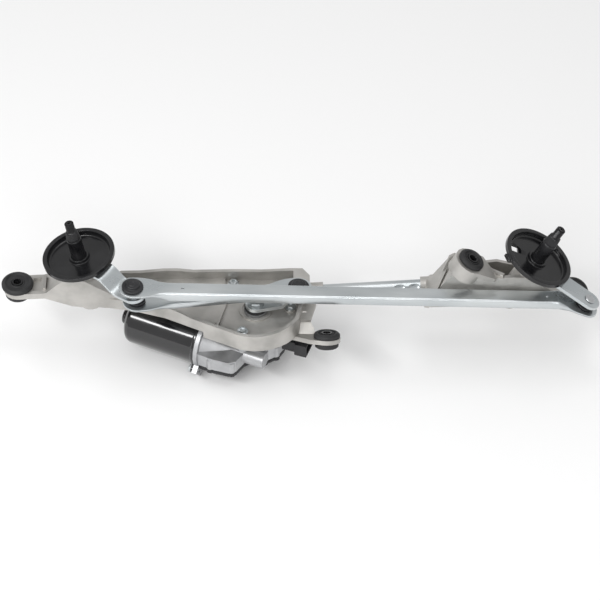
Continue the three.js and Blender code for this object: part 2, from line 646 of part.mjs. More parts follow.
function wormWheel() {
  const { teeth, r, rootR, z0, z1 } = WHEEL;
  const pitch = 360 / teeth;
  const outline = [];
  for (let i = 0; i < teeth; i += 1) {
    const middle = i * pitch * RAD;
    const tip = 0.2 * pitch * RAD;
    const root = 0.34 * pitch * RAD;
    for (const [radius, angle] of [
      [rootR, middle - root], [r, middle - tip], [r, middle + tip], [rootR, middle + root],
    ]) outline.push([radius * Math.cos(angle), radius * Math.sin(angle)]);
  }
  return cut(plate(outline, z0, z1), disc(7.3, z0 - 1, z1 + 1, 0, 0, 20));
}
piece(outputFrame, 'worm_wheel', wormWheel(), 'nylon');

// ---------------------------------------------------------------- motor
// Geometry turned about the armature axis, which is the X axis of the motor frame.
function turnedX(outline, sides = 36) {
  const g = turnedGeometry(outline, sides);
  g.rotateY(Math.PI / 2);
  return g;
}
const discX = (r, x0, x1, sides = 32) =>
  solid(turnedX([[0, x0], [r, x0], [r, x1], [0, x1]], sides));
const inMotor = (geometry) => solid(placed(geometry, MOTOR_AXIS_AT, [0, 0, MOTOR_TURN]));

// A copy of a piece at each yoke ear; it is made standing on the Z axis of the motor frame.
const atEars = (make) => YOKE_EARS.map((angle) => make().rotateX(angle * RAD));

function gearHousing() {
  const [mx, my] = MOTOR_AT;
  const { r, cavityR, top, bottom, lobeTop, tunnelR } = HOUSING;
  const shell = [
    disc(r, bottom, top, mx, my, 40),
    disc(12.8, top - 1, 2.9, mx, my, 24),
    plate(LOBE, bottom, lobeTop),
    ...COVER_BOSSES.map(([x, y]) => disc(4.6, bottom, bottom + 14, x, y, 14)),
  ];
  const screwHoles = [];
  for (const [x, y] of SCREWS) {
    shell.push(disc(6.4, -24, top, mx + x, my + y, 16));
    const web = blockGeometry(20, Math.hypot(x, y), -5, 5, -18, top);
    web.rotateZ(Math.atan2(y, x));
    shell.push(solid(placed(web, [mx, my, 0])));
    screwHoles.push(disc(2.9, -20, 0, mx + x, my + y, 12));
  }
  const hollow = [
    disc(cavityR, bottom - 1, -12, mx, my, 32),
    plate(inset(LOBE, 3.5), bottom - 1, lobeTop - 3.5),
  ];
  const shoulder = turnedX([[0, 4], [25, 4], [21, 12], [tunnelR, 36], [0, 36]], 28);
  const tunnel = [
    turnedX([[0, GAP], [YOKE.flangeR, GAP], [YOKE.flangeR, 5], [0, 5]], 28),
    turnedX([[0, 3], [tunnelR, 3], [tunnelR, 74], [0, 74]], 28),
    ...atEars(() => blockGeometry(GAP, 6, -8, 8, 22, YOKE_EAR_R + 4.5)),
  ].map(inMotor);
  tunnel.push(cut(inMotor(shoulder), block(150, 300, -120, 20, -80, bottom)));
  const bores = [
    turnedX([[0, -1], [22, -1], [22, 3.5], [18, 10], [6.4, 32], [6.4, 70], [0, 70]], 20),
    ...atEars(() => turnedX([[0, -1], [2.7, -1], [2.7, 7], [0, 7]], 12)
      .translate(0, 0, YOKE_EAR_R)),
  ].map(inMotor);
  return cut(
    join(cut(join(...shell), ...hollow), ...tunnel),
    ...bores, ...screwHoles,
    disc(10.3, -20, 5, mx, my, 24),
    disc(WHEEL.r + 0.8, WHEEL.z0 - 1, WHEEL.z1 + 1, mx, my, 36),
  );
}
piece(assembly, 'gear_housing', gearHousing(), 'housing');

// The plastic cover and its gasket follow the housing's rim and stop short of the yoke flange.
function underHousing(z0, z1, hollowFrom) {
  const [mx, my] = MOTOR_AT;
  const { r, cavityR, bottom } = HOUSING;
  const low = bottom + z0;
  const high = bottom + z1;
  const blank = join(
    disc(r, low, high, mx, my, 40),
    plate(LOBE, low, high),
    ...COVER_BOSSES.map(([x, y]) => disc(4.6, low, high, x, y, 14)),
  );
  const flangeRoom = inMotor(
    turnedX([[0, -20], [45, -20], [45, 6.4], [0, 6.4]], 24),
  );
  return cut(
    blank, flangeRoom,
    disc(cavityR - 1, bottom + hollowFrom, high + 1, mx, my, 32),
    plate(inset(LOBE, 4.5), bottom + hollowFrom, high + 1),
  );
}
piece(assembly, 'cover_gasket', underHousing(-1.6, -GAP, -3), 'rubber');
piece(assembly, 'gear_cover', underHousing(-5.4, -1.9, -3.4), 'black_plastic');
piece(outputFrame, 'output_bush', ring(7.3, 10, -11.7, 2.6, 20), 'bronze');

function motorYoke() {
  const { length, r, wall, flangeR, hubR, hub } = YOKE;
  const tube = solid(turnedX([
    [0, -length - hub], [hubR - 2.5, -length - hub], [hubR, -length - hub + 1.5], [hubR, -length],
    [r - 7, -length + 0.5], [r - 2, -length + 3], [r, -length + 8], [r, -3], [flangeR, -3],
    [flangeR, 0], [r - wall, 0], [r - wall, -length + 9], [r - 8, -length + 4],
    [7.3, -length + 3.4], [7.3, -length - hub + 2.4], [0, -length - hub + 2.4],
  ], 36));
  const ears = atEars(() => blockGeometry(-3, 0, -8, 8, 24, YOKE_EAR_R + 4.5));
  const holes = atEars(() => turnedX([[0, -4], [2.7, -4], [2.7, 1], [0, 1]], 12)
    .translate(0, 0, YOKE_EAR_R));
  return cut(
    join(tube, ...ears.map(solid)), disc(1.9, r - 3, r + 2, -length + 16, 0, 12),
    ...holes.map(solid),
  );
}
piece(motorFrame, 'motor_yoke', motorYoke(), 'black_steel');
atEars(() => turnedX(
  [[0, -6.4], [4.6, -6], [4.6, -3.3], [2.4, -3.3], [2.4, 5], [0, 5]], 12,
).translate(0, 0, YOKE_EAR_R)).forEach((geometry, i) => {
  piece(motorFrame, `yoke_screw_${i + 1}`, solid(geometry), 'zinc');
});

[0, 180].forEach((middle, i) => {
  const outline = [...arc(0, 0, 24.7, -62, 62, 15), ...arc(0, 0, 20.6, 62, -62, 15)];
  const g = plateGeometry(outline, -68, -24);
  g.rotateY(Math.PI / 2);
  g.rotateX(middle * RAD);
  piece(motorFrame, `magnet_${i + 1}`, solid(g), 'magnet');
});

function armatureCore() {
  const slots = 10;
  const outline = [];
  for (let i = 0; i < slots; i += 1) {
    const at = (degrees) => (i * 360 / slots + degrees) * RAD;
    for (const [radius, degrees] of [[12, 2], [17.6, 2], [17.6, 5], [19.8, 5], [19.8, 31],
      [17.6, 31], [17.6, 34], [12, 34]]) {
      outline.push([radius * Math.cos(at(degrees)), radius * Math.sin(at(degrees))]);
    }
  }
  const g = plateGeometry(outline, -66, -26);
  g.rotateY(Math.PI / 2);
  return cut(solid(g), discX(4.3, -70, -10, 16));
}
piece(motorFrame, 'armature_core', armatureCore(), 'steel');
piece(motorFrame, 'commutator', cut(discX(9, -16, -5, 20), discX(4.3, -20, 0, 16)), 'copper');
piece(motorFrame, 'armature_shaft', solid(turnedX([
  [0, -94.8], [4, -94.8], [4, 28], [3.4, 30], [3.4, 32], [4.25, 33], [4.25, 62], [3.4, 63],
  [3.4, 65], [0, 65.4],
], 16)), 'steel');
piece(motorFrame, 'rear_bush', cut(discX(7, -95, -87, 20), discX(4.3, -96, -80, 16)), 'bronze');

const BRUSH = { x0: -13, x1: -8, from: 9.4, to: 19 };
const brushHolder = cut(
  discX(24.4, -17, -3.4, 28),
  discX(11, -19, 0, 20),
  block(BRUSH.x0 - 0.4, BRUSH.x1 + 0.4, -BRUSH.to - 0.4, BRUSH.to + 0.4, -3.4, 3.4),
);
piece(motorFrame, 'brush_holder', brushHolder, 'black_plastic');
[1, -1].forEach((side, i) => {
  const g = blockGeometry(BRUSH.x0, BRUSH.x1, BRUSH.from, BRUSH.to, -3, 3);
  g.rotateX(side > 0 ? 0 : Math.PI);
  piece(motorFrame, `brush_${i + 1}`, solid(g), 'carbon');
});

const connectorFrame = frame([306, -44, -29], [0, 0, -20]);
piece(connectorFrame, 'connector', cut(
  join(
    block(-13.6, 2, -9, 9, -8, 6), block(2, 16, -12, 12, -9, 7),
  ),
  block(5, 17, -10, 10, -7, 5),
), 'black_plastic');

SCREWS.forEach(([x, y], i) => {
  const group = frame([x, y, 0], [0, 0, 0], outputFrame);
  const head = plate(arc(0, 0, 4.6, 0, 300, 60), 3, 5.8);
  const shank = turned([[0, -18], [2.6, -18], [2.6, 1.9], [6.2, 1.9], [6.2, 3.2], [0, 3.2]], 12);
  piece(group, `motor_screw_${i + 1}`, join(head, shank), 'zinc');
});

export default assembly;
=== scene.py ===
"""Windshield wiper linkage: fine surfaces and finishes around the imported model."""
import json
import math

import bmesh
import bpy
from mathutils import Matrix, Vector

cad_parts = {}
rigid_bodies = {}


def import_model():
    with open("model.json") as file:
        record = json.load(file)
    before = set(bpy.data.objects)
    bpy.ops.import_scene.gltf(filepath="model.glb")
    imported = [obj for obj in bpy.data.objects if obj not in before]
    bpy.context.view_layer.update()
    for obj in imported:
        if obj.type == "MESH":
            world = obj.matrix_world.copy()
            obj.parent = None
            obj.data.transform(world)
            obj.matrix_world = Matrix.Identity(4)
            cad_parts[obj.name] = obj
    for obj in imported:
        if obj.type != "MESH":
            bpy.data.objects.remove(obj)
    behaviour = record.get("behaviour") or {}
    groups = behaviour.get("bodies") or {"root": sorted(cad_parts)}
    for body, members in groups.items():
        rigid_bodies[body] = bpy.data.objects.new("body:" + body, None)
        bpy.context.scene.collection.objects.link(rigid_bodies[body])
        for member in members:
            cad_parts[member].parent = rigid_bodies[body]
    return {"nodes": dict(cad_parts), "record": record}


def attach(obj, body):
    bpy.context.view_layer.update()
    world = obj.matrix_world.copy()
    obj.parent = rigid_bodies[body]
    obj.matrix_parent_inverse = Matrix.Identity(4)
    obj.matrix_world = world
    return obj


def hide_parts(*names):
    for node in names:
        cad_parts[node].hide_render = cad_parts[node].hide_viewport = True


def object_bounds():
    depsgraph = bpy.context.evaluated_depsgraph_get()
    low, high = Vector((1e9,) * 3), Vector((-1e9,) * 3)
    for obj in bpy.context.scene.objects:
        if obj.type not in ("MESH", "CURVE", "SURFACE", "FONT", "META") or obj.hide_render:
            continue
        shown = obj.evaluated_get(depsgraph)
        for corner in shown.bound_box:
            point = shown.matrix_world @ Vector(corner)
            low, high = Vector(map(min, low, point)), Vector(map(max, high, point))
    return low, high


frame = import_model()
cad_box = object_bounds()
RECORD = frame["record"]
SLOT_OF = {s["node"]: s["material_slot"] for s in RECORD["subparts"]}
BODY_OF = {n: b for b, nodes in RECORD["behaviour"]["bodies"].items() for n in nodes}
MM = 0.001

# ------------------------------------------------------------------ design frames, in millimetres


def spot(at, turn=(0, 0, 0), parent=None):
    """A frame at a point, turned about X, then Y, then Z, in degrees."""
    x, y, z = (Matrix.Rotation(math.radians(a), 4, c) for a, c in zip(turn, "XYZ"))
    here = Matrix.Translation(Vector(at)) @ z @ y @ x
    return parent @ here if parent else here


def between(start, end):
    """A frame at start with X pointing at end and Y level."""
    along = Vector(end) - Vector(start)
    pitch = -math.degrees(math.asin(along.z / along.length))
    yaw = math.degrees(math.atan2(along.y, along.x))
    return spot(start, (0, pitch, yaw)), along.length


LEFT = spot((71, -1.4, 55.1), (0, -10, 0))
RIGHT = spot((564.8, -14.1, 63.6), (0, 28, 0))
LEFT_ARM = spot((0, 0, 0), (0, 0, -38.7), LEFT)
RIGHT_ARM = spot((0, 0, 0), (0, 0, -20.4), RIGHT)
FORK = spot((339.5, -61.4, -8), (-28, 0, 0))
OUTPUT = spot((261.9, -23.6, 0))
MOTOR = spot((204.5, -34.6, -38), (0, 0, -24.6))
LONG, LONG_LENGTH = between((129.877, -48.231, 57.815), (619.082, -39.337, 21.147))
SHORT, SHORT_LENGTH = between((133.611, -48.231, 36.642), (308.7, -15, 25))
LONG_EYE = spot((LONG_LENGTH, 0, 0), (0, 22, 0), LONG)
SHORT_EYE = spot((SHORT_LENGTH, 0, 0), (0, 0, 0), SHORT)
CRANK = spot((0, 0, 0), (0, 0, 10.41), OUTPUT)
ARM_LENGTH = {"left": 74.9, "right": 72.4}
SCREWS = ((-14.2, -35.2), (37.9, 2.7), (-25.1, 38.6))

# ------------------------------------------------------------------ materials


def new_material(name):
    material = bpy.data.materials.new(name)
    material.use_nodes = True
    tree = material.node_tree
    return material, tree.nodes, tree.links, tree.nodes["Principled BSDF"]


def noise(nodes, links, scale, detail=4.0, stretch=(1, 1, 1)):
    """Noise over the object's own coordinates, with features of about 1 / scale metres."""
    coords = nodes.new("ShaderNodeTexCoord")
    mapping = nodes.new("ShaderNodeMapping")
    mapping.inputs["Scale"].default_value = stretch
    texture = nodes.new("ShaderNodeTexNoise")
    texture.inputs["Scale"].default_value = scale
    texture.inputs["Detail"].default_value = detail
    links.new(coords.outputs["Object"], mapping.inputs["Vector"])
    links.new(mapping.outputs["Vector"], texture.inputs["Vector"])
    return texture.outputs["Fac"]


def ramp(nodes, links, source, stops):
    """Maps a factor to colours: stops are (position, colour)."""
    node = nodes.new("ShaderNodeValToRGB")
    elements = node.color_ramp.elements
    while len(elements) < len(stops):
        elements.new(0.5)
    for element, (position, colour) in zip(elements, stops):
        element.position = position
        element.color = (*colour, 1)
    links.new(source, node.inputs["Fac"])
    return node.outputs["Color"]


def span(nodes, links, source, low, high):
    """Maps a factor to numbers from low to high."""
    node = nodes.new("ShaderNodeMapRange")
    node.inputs["From Min"].default_value = 0.3
    node.inputs["From Max"].default_value = 0.7
    node.inputs["To Min"].default_value = low
    node.inputs["To Max"].default_value = high
    links.new(source, node.inputs["Value"])
    return node.outputs["Result"]


def bump(nodes, links, source, shader, strength, depth):
    node = nodes.new("ShaderNodeBump")
    node.inputs["Strength"].default_value = strength
    node.inputs["Distance"].default_value = depth
    links.new(source, node.inputs["Height"])
    links.new(node.outputs["Normal"], shader.inputs["Normal"])


def finish(name, dark, light, rough, metallic, blotch=60, grain=1400, grain_depth=0.0001,
           stretch=(1, 1, 1), coat=0.0, specular=0.5):
    """A finish that varies between two colours and two roughnesses, with a fine grain."""
    material, nodes, links, shader = new_material(name)
    patches = noise(nodes, links, blotch, 5, stretch)
    colours = ramp(nodes, links, patches, [(0.35, dark), (0.65, light)])
    links.new(colours, shader.inputs["Base Color"])
    links.new(span(nodes, links, patches, *rough), shader.inputs["Roughness"])
    shader.inputs["Metallic"].default_value = metallic
    shader.inputs["Coat Weight"].default_value = coat
    shader.inputs["Coat Roughness"].default_value = 0.08
    shader.inputs["Specular IOR Level"].default_value = specular
    fine = noise(nodes, links, grain, 3, stretch)
    bump(nodes, links, fine, shader, 0.5, grain_depth)
    return material


MATERIALS = {
    "casting": finish("cast_aluminium", (0.40, 0.39, 0.37), (0.55, 0.535, 0.51), (0.34, 0.5),
                      0.72, blotch=38, grain=850, grain_depth=0.0003),
    "gear_casting": finish("gear_casting", (0.40, 0.405, 0.415), (0.56, 0.565, 0.575),
                           (0.34, 0.5), 0.72, blotch=50, grain=850, grain_depth=0.00025),
    "zinc_plate": finish("zinc_plate", (0.50, 0.535, 0.55), (0.66, 0.69, 0.70), (0.24, 0.38), 0.9,
                         blotch=30, grain=700, grain_depth=0.00005, stretch=(0.3, 1, 1)),
    "bare_steel": finish("bare_steel", (0.40, 0.41, 0.42), (0.58, 0.59, 0.60), (0.25, 0.4), 0.95,
                         grain_depth=0.00004),
    "black_steel": finish("black_steel", (0.008, 0.008, 0.009), (0.022, 0.022, 0.024),
                          (0.2, 0.34), 0.3, grain_depth=0.00004),
    "black_paint": finish("black_paint", (0.003, 0.003, 0.004), (0.006, 0.006, 0.007),
                          (0.12, 0.18), 0.0, grain=500, grain_depth=0.00002, coat=0.8),
    "shield_plastic": finish("shield_plastic", (0.004, 0.004, 0.005), (0.010, 0.010, 0.011),
                             (0.15, 0.24), 0.0, grain_depth=0.00004, specular=0.5),
    "black_plastic": finish("black_plastic", (0.008, 0.008, 0.010), (0.020, 0.020, 0.022),
                            (0.35, 0.5), 0.0, grain_depth=0.00006),
    "rubber": finish("rubber", (0.010, 0.010, 0.011), (0.026, 0.026, 0.027), (0.55, 0.75), 0.0,
                     grain_depth=0.00010),
    "bronze": finish("bronze", (0.38, 0.25, 0.12), (0.55, 0.40, 0.22), (0.4, 0.55), 0.9),
    "copper": finish("copper", (0.55, 0.28, 0.15), (0.75, 0.42, 0.25), (0.3, 0.45), 0.95),
    "carbon": finish("carbon", (0.02, 0.02, 0.02), (0.05, 0.05, 0.05), (0.5, 0.7), 0.1),
    "ferrite": finish("ferrite", (0.05, 0.05, 0.055), (0.09, 0.09, 0.1), (0.5, 0.7), 0.1),
    "gear_nylon": finish("gear_nylon", (0.74, 0.71, 0.62), (0.86, 0.83, 0.75), (0.4, 0.55), 0.0),
}

# ------------------------------------------------------------------ mesh helpers


def object_from(bm, name):
    bmesh.ops.recalc_face_normals(bm, faces=bm.faces)
    mesh = bpy.data.meshes.new(name)
    bm.to_mesh(mesh)
    bm.free()
    piece = bpy.data.objects.new(name, mesh)
    bpy.context.scene.collection.objects.link(piece)
    return piece


def turned(profile, sides=72, wave=None):
    """A solid of revolution about Z. profile is (radius, z), closed, or open with both ends on
    the axis. wave(radius, z, angle) gives a changed radius."""
    bm = bmesh.new()
    rings = []
    for r, z in profile:
        if r < 1e-6:
            rings.append([bm.verts.new((0, 0, z))])
            continue
        ring = []
        for i in range(sides):
            a = 2 * math.pi * i / sides
            here = wave(r, z, a) if wave else r
            ring.append(bm.verts.new((here * math.cos(a), here * math.sin(a), z)))
        rings.append(ring)
    closed = profile[0][0] > 1e-6
    pairs = list(zip(rings, rings[1:])) + ([(rings[-1], rings[0])] if closed else [])
    for low, high in pairs:
        for i in range(sides):
            j = (i + 1) % sides
            if len(low) == 1:
                bm.faces.new((low[0], high[j], high[i]))
            elif len(high) == 1:
                bm.faces.new((low[i], low[j], high[0]))
            else:
                bm.faces.new((low[i], low[j], high[j], high[i]))
    return object_from(bm, "turned")


def rounded(points, radius=0.6, steps=3):
    """An open profile whose inner corners are rounded by up to radius."""
    out = [points[0]]
    for before, corner, after in zip(points, points[1:], points[2:]):
        a, b, c = Vector(before), Vector(corner), Vector(after)
        reach = min(radius, (a - b).length * 0.45, (c - b).length * 0.45)
        start, end = b + (a - b).normalized() * reach, b + (c - b).normalized() * reach
        for i in range(steps + 1):
            t = i / steps
            p = start * (1 - t) ** 2 + b * 2 * t * (1 - t) + end * t ** 2
            out.append((p.x, p.y))
    out.append(points[-1])
    return out


def rounded_loop(points, radius=0.6, steps=3):
    """A closed outline with every corner rounded."""
    full = rounded([points[-1], *points, points[0]], radius, steps)
    return full[1:-1]


def arc(cx, cy, r, start, end, step=5):
    count = max(2, round(abs(end - start) / step))
    angles = [math.radians(start + (end - start) * i / count) for i in range(count + 1)]
    return [(cx + r * math.cos(a), cy + r * math.sin(a)) for a in angles]


def prism(outline, low, high, across="Z"):
    """An outline carried from low to high along Z, or an (x, z) outline carried along Y."""
    bm = bmesh.new()

    def point(u, v, w):
        return (u, v, w) if across == "Z" else (u, w, v)

    bottom = [bm.verts.new(point(u, v, low)) for u, v in outline]
    top = [bm.verts.new(point(u, v, high)) for u, v in outline]
    count = len(outline)
    for i in range(count):
        j = (i + 1) % count
        bm.faces.new((bottom[i], bottom[j], top[j], top[i]))
    bm.faces.new(bottom)
    bm.faces.new(top)
    return object_from(bm, "prism")


def box_piece(x0, x1, y0, y1, z0, z1):
    return prism([(x0, y0), (x1, y0), (x1, y1), (x0, y1)], z0, z1)


def moved(piece, matrix):
    piece.data.transform(matrix)
    return piece


def settle(piece):
    """Applies the piece's modifiers to its mesh."""
    bpy.context.view_layer.update()
    evaluated = piece.evaluated_get(bpy.context.evaluated_depsgraph_get())
    mesh = bpy.data.meshes.new_from_object(evaluated)
    piece.modifiers.clear()
    piece.data = mesh
    return piece


def combine(piece, tool, operation):
    modifier = piece.modifiers.new("combine", "BOOLEAN")
    modifier.operation = operation
    modifier.solver = "EXACT"
    modifier.object = tool
    settle(piece)
    bpy.data.objects.remove(tool)
    return piece


def cut(piece, *tools):
    for tool in tools:
        combine(piece, tool, "DIFFERENCE")
    return piece


def join(piece, *others):
    for other in others:
        combine(piece, other, "UNION")
    return piece


def soften(piece, width, segments=3, angle=35):
    """Rounds the sharp edges and shades the rest smooth."""
    modifier = piece.modifiers.new("rounding", "BEVEL")
    modifier.width = width
    modifier.segments = segments
    modifier.limit_method = "ANGLE"
    modifier.angle_limit = math.radians(angle)
    modifier.use_clamp_overlap = True
    smooth(piece)


def smooth(piece):
    piece.data.polygons.foreach_set("use_smooth", [True] * len(piece.data.polygons))
    modifier = piece.modifiers.new("normals", "WEIGHTED_NORMAL")
    modifier.mode = "FACE_AREA_WITH_ANGLE"
    modifier.weight = 60


def show(piece, node, where=None, edge=0.0):
    """Puts a finished piece, made in millimetres in the frame where, in place of a CAD node."""
    piece.data.transform((where or Matrix.Identity(4)))
    piece.data.transform(Matrix.Scale(MM, 4))
    piece.name = node + "_fine"
    if edge:
        soften(piece, edge * MM)
    else:
        smooth(piece)
    piece.data.materials.clear()
    piece.data.materials.append(MATERIALS[SLOT_OF[node]])
    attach(piece, BODY_OF[node])
    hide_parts(node)
    return piece


# ------------------------------------------------------------------ pivots


def pivot_shaft():
    p = [(0, -70), (7, -70), (8, -69), (8, -67.2), (7, -67.2), (7, -65.6), (8, -65.6)]
    p += [(8, 31), (7.5, 31.8), (6.9, 32.2), (7.4, 32.8)]
    p += [(7.4 - 1.2 * i / 8, 32.8 + 10 * i / 8) for i in range(1, 9)]
    p += [(4.9, 43.6)]
    z = 44.0
    while z < 54.2:
        p += [(4.3, z), (5.0, z + 0.45), (5.0, z + 0.6), (4.3, z + 1.1)]
        z += 1.25
    p += [(4.4, 54.9), (4.0, 55.5), (1.7, 55.5), (1.5, 55.0), (1.3, 51.0), (0, 50.4)]

    def knurl(r, z, a):
        on = 32.7 < z < 43.0 and r > 6
        return r * (1 + 0.035 * math.cos(36 * a)) if on else r

    return turned(p, 144, knurl)


def cup(right):
    outline = [
        (8.3, 0.3), (33, 0.3), (36, 1.6), (39.2, 3.9), (40, 4.8), (40, 9.2), (39.5, 9.6),
        (35.6, 9.6), (35, 9.2), (34.6, 6.4), (33.9, 3.9), (32.6, 3.2), (11.7, 3.2), (11.2, 3.8),
        (10.9, 6.6), (10.5, 7.1), (8.3, 7.1),
    ]
    body = turned(rounded_loop(outline, 0.5, 2), 120)
    if right:
        tab = box_piece(37, 42.4, -5, 5, 2.6, 6)
        join(body, moved(tab, Matrix.Rotation(math.radians(203), 4, "Z")))
        cut(body, box_piece(-32, -22.5, 0.5, 10.5, -1, 9))
    return body


LEVER = {"half": 12.5, "sheet": 4, "drop": 16.05}  # drop: the left lever's step down


def lever(side):
    length, half, drop = ARM_LENGTH[side], LEVER["half"], LEVER["drop"]
    outline = [*arc(0, 0, 16, 50, 310), (22, -half), *arc(length, 0, half, -90, 90), (22, half)]
    if side == "left":
        top = [(-20, 0), (length * 0.5, 0), (length * 0.72, -drop), (length + 20, -drop)]
        top = rounded(top, 7, 6)
    else:
        top = [(-20, 0), (length + 20, 0)]
    below = [(x, z - LEVER["sheet"]) for x, z in reversed(top)]
    sheet = prism([*top, *below], -30, 30, across="Y")
    combine(sheet, prism(outline, -40, 20), "INTERSECT")
    return cut(sheet, turned([(0, -30), (8.5, -30), (8.5, 5), (0, 5)], 48))


BALL_R = 6.2


def ball_stud(base, shank):
    """Its ball centre is at zero and its foot stands on a face at base."""
    foot = -abs(base)
    p = [(0, BALL_R), *arc(0, 0, BALL_R, 80, -40, 10)]
    p += [(3.6, -5.1), (3.6, foot + 1.2), (6, foot + 1.2), (6, foot)]
    if shank:
        p += [(3.3, foot), (3.3, foot - shank)]
    p += [(0, p[-1][1])]
    body = turned(p, 48)
    if base > 0:
        moved(body, Matrix.Rotation(math.pi, 4, "X"))
    return body


for side, where, arm in (("left", LEFT, LEFT_ARM), ("right", RIGHT, RIGHT_ARM)):
    show(pivot_shaft(), f"{side}_pivot_shaft", where)
    show(cup(side == "right"), f"{side}_cup", where)
    show(lever(side), f"{side}_lever", arm, edge=0.5)

show(ball_stud(-8.2, 3.6), "left_upper_ball_stud",
     LEFT_ARM @ spot((ARM_LENGTH["left"], 0, -7.55)))
show(ball_stud(8.7, 0), "left_lower_ball_stud",
     LEFT_ARM @ spot((ARM_LENGTH["left"], 0, -29.05)))
rivet = turned([(0, -4), (3.3, -4), (3.3, 0.3), (5.9, 0.3), (6, 0.8), (5.5, 1.5), (4.6, 1.9),
                (4.0, 1.9), (3.4, 1.5), (0, 1.4)], 48)
show(rivet, "right_lever_rivet", RIGHT_ARM @ spot((ARM_LENGTH["right"], 0, 0)))

# ------------------------------------------------------------------ links


def channel_link(length, depth, rise, bend, neck, flange):
    """A pressed channel, open below, built from cross-sections along its length. Its top rises
    by rise as far as bend, and its sides, depth deep, fade in and out at the ends of flange."""
    half, eye, sheet, top, corner = 9.5, 15.0, 2.4, 1.2, 2.8
    eye_end, fade, fine_step, coarse_step = 6.5, 24, 1.0, 12.0
    stations = []
    x = -eye
    while x < length + eye - 0.01:
        near_end = x < neck + 4 or x > length - neck - 4
        stations.append(x)
        x += fine_step if near_end else coarse_step
    stations.append(length + eye)

    def half_width(x):
        distance = x if x < length / 2 else length - x
        if distance < eye_end:
            return math.sqrt(max(eye ** 2 - min(distance, 0) ** 2, 0.3)) if distance < 0 else eye
        t = min(1.0, (distance - eye_end) / (neck - eye_end))
        blend = t * t * (3 - 2 * t)
        return eye + (half - eye) * blend

    def height(x):
        if rise == 0:
            return 0.0
        if x <= bend:
            return rise * x / bend
        return rise * (length - x) / (length - bend)

    def drop(x):
        start, stop = flange
        t = min(1.0, max(0.0, min((x - start) / fade, (stop - x) / fade)))
        return sheet + (depth - sheet) * t * t * (3 - 2 * t)

    bm = bmesh.new()
    rings = []
    for x in stations:
        w, h, d = half_width(x), height(x) + top, drop(x)
        r = min(corner, w * 0.5) * min(1.0, (d - sheet) / 3.0 + 0.12)
        inner = max(r - sheet, 0.2)
        section = []
        for k in range(5):
            a = math.pi / 2 * k / 4
            section.append((w - r + r * math.sin(a), h - r + r * math.cos(a)))
        section.append((w, h - d))
        section.append((w - min(sheet, w * 0.6), h - d - 0.001))
        wi = max(w - sheet, 0.05)
        for k in range(4, -1, -1):
            a = math.pi / 2 * k / 4
            section.append((
                wi - min(inner, wi) + min(inner, wi) * math.sin(a),
                h - sheet - inner + inner * math.cos(a) if d > sheet + inner else h - sheet,
            ))
        ring = [bm.verts.new((x, y, z)) for y, z in section[:7]]
        inside = [bm.verts.new((x, y, z)) for y, z in section[7:]]
        left_in = [bm.verts.new((x, -y, z)) for y, z in reversed(section[7:])]
        left_out = [bm.verts.new((x, -y, z)) for y, z in reversed(section[:7])]
        rings.append(ring + inside + left_in + left_out)
    for low, high in zip(rings, rings[1:]):
        count = len(low)
        for i in range(count):
            j = (i + 1) % count
            bm.faces.new((low[i], low[j], high[j], high[i]))
    bm.faces.new(rings[0])
    bm.faces.new(rings[-1])
    link = object_from(bm, "link")
    eye_hole, pin_hole = 9.6, 1.8
    for at, radius in ((0, eye_hole), (length, eye_hole),
                       (neck + 14, pin_hole), (length - neck - 2, pin_hole)):
        hole = turned([(0, -30), (radius, -30), (radius, 30), (0, 30)], 48)
        cut(link, moved(hole, Matrix.Translation((at, 0, 0))))
    return link


show(channel_link(LONG_LENGTH, 10, 12.2, LONG_LENGTH - 30, 40, (18, LONG_LENGTH - 12)),
     "long_link", LONG)
show(channel_link(SHORT_LENGTH, 7, 0, SHORT_LENGTH, 40, (18, SHORT_LENGTH - 16)),
     "short_link", SHORT)


def ball_socket(up):
    inner = BALL_R + 0.6
    p = [(inner + 0.2, -4.4), (8.8, -4.4), (9.2, -1.6), (9.2, 1.5), (11.4, 1.5), (11.7, 1.9),
         (11.7, 3.0), (11.2, 3.6), (8.6, 4.0), (8.0, 4.4), (7.8, 6.0), (7.2, 6.7), (5.0, 6.9),
         (4.6, 7.5), (2.4, 7.6), (2.0, 7.1), (0, 7.1)]
    inside = [(0, inner), *arc(0, 0, inner, 80, -30, 10)]
    body = turned(rounded(p, 0.3, 2), 72)
    hollow = turned([*inside, (inner + 0.2, -6), (0, -6)], 48)
    cut(body, hollow)
    if up < 0:
        moved(body, Matrix.Rotation(math.pi, 4, "X"))
    return body


show(ball_socket(1), "long_link_left_socket", LONG)
show(ball_socket(-1), "long_link_right_socket", LONG_EYE)
show(ball_socket(-1), "short_link_lever_socket", SHORT)
show(ball_socket(1), "short_link_crank_socket", SHORT_EYE)
show(ball_stud(7, 0), "long_link_right_ball_stud", LONG_EYE)
show(ball_stud(-6.4, 0), "short_link_ball_stud", SHORT_EYE)
boot = turned(rounded_loop([(4.1, 4.7), (11, 4.7), (11.4, 5.1), (10.8, 5.5), (4.1, 5.5)], 0.15, 2))
show(boot, "long_link_right_boot", LONG_EYE)

# ------------------------------------------------------------------ grommets


def grommet(flange, foot, waist, height):
    top = height - 5.3
    outline = [
        (6.4, 0.2), (foot - 1.6, 0), (foot, 1.6), (foot, 6.3), (waist, 6.3), (waist, top),
        (flange, top), (flange, height - 2.2), (flange - 2.2, height), (flange - 4.4, height),
        (flange - 5.4, height - 1.6), (8.2, height - 1.6), (7.6, height - 0.6), (6.4, height - 0.6),
    ]
    return turned(rounded_loop(outline, 0.6, 3), 72)


def sleeve(height):
    return turned(rounded_loop([(4.2, 0), (6, 0), (6, height), (4.2, height)], 0.3, 2), 48)


